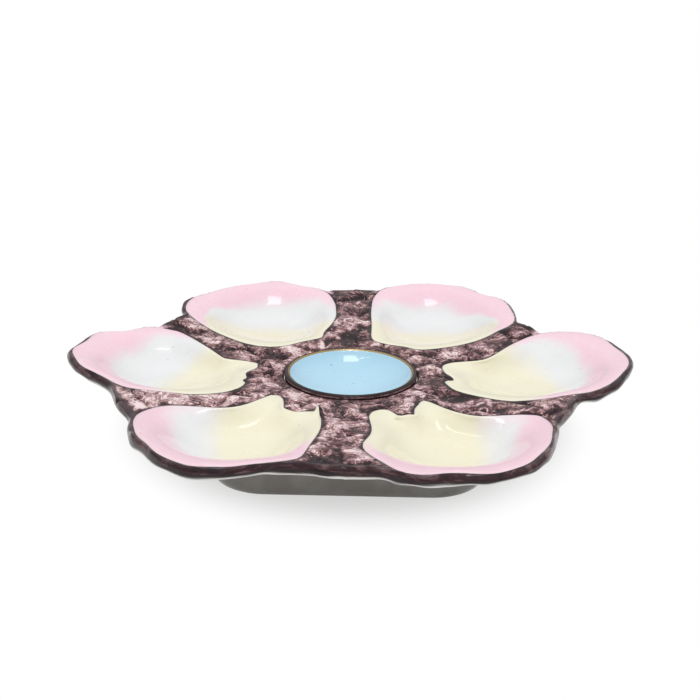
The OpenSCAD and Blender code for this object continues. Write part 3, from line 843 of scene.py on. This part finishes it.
# The sauce well's outline. Bowl: shares of its radius and depth. Rim: shares of the rim's
# width, inward and down. Belly: shares of its radius and of the way up to its seat.
SAUCE_BOWL_SHARES = (
    (0, 1), (0.24, 0.95), (0.46, 0.85), (0.64, 0.69), (0.78, 0.52), (0.88, 0.36), (0.955, 0.20),
    (0.987, 0.10), (1, 0.06))
SAUCE_RIM_SHARES = ((0.62, 0), (0.30, 0), (0.10, 0.16), (0, 0.34))
SAUCE_BELLY_SHARES = ((1, 1), (0.94, 0.73), (0.84, 0.42), (0.70, 0.17), (0.50, 0.03), (0, 0))
RING_STEPS = 96


def turned(form, corners):
    """Turns a line of corners round the Z axis into a closed skin."""
    edges = [form.edges.new(pair) for pair in zip(corners, corners[1:])]
    bmesh.ops.spin(
        form, geom=corners + edges, cent=(0, 0, 0), axis=(0, 0, 1), angle=math.tau,
        steps=RING_STEPS, use_merge=True)
    bmesh.ops.remove_doubles(form, verts=form.verts, dist=CLOSE / 10)
    bmesh.ops.recalc_face_normals(form, faces=form.faces)
    return form


class PLATE_OT_sauce_well(bpy.types.Operator):
    """Turns the sauce well: its bowl, its rounded rim and its belly"""
    bl_idname = "plate.sauce_well"
    bl_label = "Sauce well"

    def execute(self, context):
        size = sizes()
        low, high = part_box("sauce_well")
        outer, rim = high.x, high.z
        inner = outer - size.sauce_rim
        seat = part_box("rock_ground")[0].z
        bowl = [(inner * r, rim - size.sauce_depth * d) for r, d in SAUCE_BOWL_SHARES]
        lip = [(outer - size.sauce_rim * r, rim - size.sauce_rim * d) for r, d in SAUCE_RIM_SHARES]
        belly = [(outer * r, low.z + (seat - low.z) * h) for r, h in SAUCE_BELLY_SHARES]
        form = bmesh.new()
        row = form.verts.layers.float.new("along")
        starts = [form.verts.new((r, 0, z)) for r, z in bowl + lip + belly]
        for i, v in enumerate(starts):
            v[row] = 0.0 if i < len(bowl) else (i - len(bowl) + 1.0)
        turned(form, starts)
        piece = made_piece(form, "sauce_well_glazed", 1)
        place_piece(piece, sauce_glaze(), "sauce_glaze", "sauce_well")
        return {"FINISHED"}


class PLATE_OT_gilt_line(bpy.types.Operator):
    """Turns the gilt line on the sauce well's rim"""
    bl_idname = "plate.gilt_line"
    bl_label = "Gilt line"

    def execute(self, context):
        low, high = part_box("gilt_band")
        inner, outer = high.x - sizes().gilt, high.x
        depth = sizes().gilt_depth
        sunk = depth / 2
        profile = [(inner, low.z + depth - sunk), (inner, low.z + depth),
                   ((inner + outer) / 2, (low.z + depth + high.z) / 2 + sunk / 4),
                   (outer, high.z), (outer, high.z - sunk), (inner, low.z + depth - sunk)]
        form = bmesh.new()
        turned(form, [form.verts.new((r, 0, z)) for r, z in profile])
        piece = made_piece(form, "gilt_line", 1)
        place_piece(piece, gilding(), "gilding", "gilt_band")
        return {"FINISHED"}


class PLATE_OT_foot(bpy.types.Operator):
    """Models and glazes the hollow foot ring"""
    bl_idname = "plate.foot"
    bl_label = "Foot ring"

    def execute(self, context):
        form = merged_form("foot_ring")
        piece = made_piece(form, "foot_ring_glazed", 1)
        place_piece(piece, foot_glaze(), "foot_glaze", "foot_ring")
        return {"FINISHED"}


# The camera's tilt and turn in degrees, and the photo's frame in pixels.
CAMERA_ROLL = 0.99
CAMERA_YAW = -0.42
PHOTO_SIDE = 700
FOCAL_PIXELS = 962
PRINCIPAL_X, PRINCIPAL_Y = 350.8, 370.35
SENSOR_WIDTH = 36

# Each lamp's place, its width and height, and its share of the soft light's power.
LAMPS = {
    "soft_key": ((0.01, -0.09, 1.0), (0.26, 0.34), 1),
    "strip": ((-0.24, -0.10, 1.0), (0.03, 0.34), 0.15)}
# Strength of the sky at the horizon, as a share of that overhead.
LOW_SKY_SHARE = 0.45


def camera_place(stage, target):
    """The camera's place and axes, from its distance and angles."""
    e, roll, yaw = stage.camera_height, math.radians(CAMERA_ROLL), math.radians(CAMERA_YAW)
    unyaw = Matrix.Rotation(-yaw, 3, "Z")
    right, up = Vector((1, 0, 0)), Vector((0, math.sin(e), math.cos(e)))
    back = Vector((0, -math.cos(e), math.sin(e)))
    across = math.cos(roll) * right + math.sin(roll) * up
    upward = math.cos(roll) * up - math.sin(roll) * right
    turn = Matrix((unyaw @ across, unyaw @ upward, unyaw @ back)).transposed()
    return Matrix.Translation(target + unyaw @ back * stage.camera_distance) @ turn.to_4x4()


class PLATE_OT_stage(bpy.types.Operator):
    """Makes the floor, the lights, the sky and the camera"""
    bl_idname = "plate.stage"
    bl_label = "Stage"

    def execute(self, context):
        stage = context.scene.plate_stage
        context.scene.view_settings.view_transform = "Standard"
        self.make_floor(stage)
        self.make_sky(stage)
        for name, (place, spread, share) in LAMPS.items():
            self.make_light(name, Vector(place), spread, stage.soft_power * share)
        self.make_camera(stage)
        return {"FINISHED"}

    def make_floor(self, stage):
        """A white floor that keeps the plate's shadow."""
        form = bmesh.new()
        bmesh.ops.create_grid(form, x_segments=8, y_segments=8, size=stage.floor_size / 2)
        floor = made_piece(form, "floor", 0)
        paint = Paint(bpy.data.materials.new("floor_paper"))
        spot = paint.node("VectorMath", {"operation": "LENGTH"}, {0: paint.place()})
        far = Number(paint, spot.outputs["Value"]).rise(0.076, 0.107) * 0.42 + 0.58
        matt = paint.node("BsdfDiffuse", None, {"Color": (0.96, 0.96, 0.96, 1)})
        white = paint.node("Emission", None, {"Color": (1, 1, 1, 1), "Strength": 1.0})
        seen = paint.either_ray("Camera", "Glossy")
        mixed = paint.node("MixShader", None, {
            0: far * seen, 1: matt.outputs[0], 2: white.outputs[0]})
        floor.data.materials.append(paint.shown(mixed))

    def make_sky(self, stage):
        """Even light from above, and white where the camera sees it."""
        world = bpy.data.worlds.new("studio_sky")
        bpy.context.scene.world = world
        paint = Paint(world, "OutputWorld")
        seen = paint.either_ray("Camera", "Transmission")
        aim = paint.height_of(paint.node("TexCoord").outputs["Generated"])
        light = aim.rise(0, 0.8) * (stage.sky * (1 - LOW_SKY_SHARE)) + stage.sky * LOW_SKY_SHARE
        paint.shown(paint.node("Background", None, {
            "Color": (1, 1, 1, 1), "Strength": seen + (1 - seen) * light}))

    def make_light(self, name, place, spread, power):
        """A lamp that faces the plate."""
        data = bpy.data.lights.new(name, "AREA")
        data.shape = "RECTANGLE"
        data.size, data.size_y = spread
        data.energy = power
        light = bpy.data.objects.new(name, data)
        bpy.context.scene.collection.objects.link(light)
        light.matrix_world = (Matrix.Translation(place)
                              @ place.to_track_quat("Z", "Y").to_matrix().to_4x4())

    def make_camera(self, stage):
        """The camera at the photo's place."""
        data = bpy.data.cameras.new("camera")
        data.sensor_width = SENSOR_WIDTH
        data.lens = SENSOR_WIDTH * FOCAL_PIXELS / PHOTO_SIDE
        data.shift_x = (PHOTO_SIDE / 2 - PRINCIPAL_X) / PHOTO_SIDE
        data.shift_y = (PRINCIPAL_Y - PHOTO_SIDE / 2) / PHOTO_SIDE
        data.clip_start, data.clip_end = 0.01, 50
        camera = bpy.data.objects.new("camera", data)
        bpy.context.scene.collection.objects.link(camera)
        camera.matrix_world = camera_place(stage, Vector((0, 0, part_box("sauce_well")[1].z)))
        bpy.context.scene.camera = camera


class PLATE_PT_panel(bpy.types.Panel):
    """Lists the plate's pieces"""
    bl_label = "Oyster Plate"
    bl_space_type = "VIEW_3D"
    bl_region_type = "UI"
    bl_category = "Oyster Plate"

    def draw(self, context):
        for step in STEPS:
            self.layout.operator(step.bl_idname)


STEPS = (PLATE_OT_stage, PLATE_OT_oyster_wells, PLATE_OT_rock_ground, PLATE_OT_sauce_well,
         PLATE_OT_gilt_line, PLATE_OT_foot)
GROUPS = {"plate_sizes": PlateSizes, "plate_colours": PlateColours, "plate_stage": PlateStage}


def register():
    for kind in (*GROUPS.values(), *STEPS, PLATE_PT_panel):
        bpy.utils.register_class(kind)
    for name, group in GROUPS.items():
        setattr(bpy.types.Scene, name, PointerProperty(type=group))


def unregister():
    for name in GROUPS:
        delattr(bpy.types.Scene, name)
    for kind in reversed((*GROUPS.values(), *STEPS, PLATE_PT_panel)):
        bpy.utils.unregister_class(kind)


def main():
    register()
    for step in STEPS:
        group, name = step.bl_idname.split(".")
        getattr(getattr(bpy.ops, group), name)()


if __name__ == "__main__":
    main()
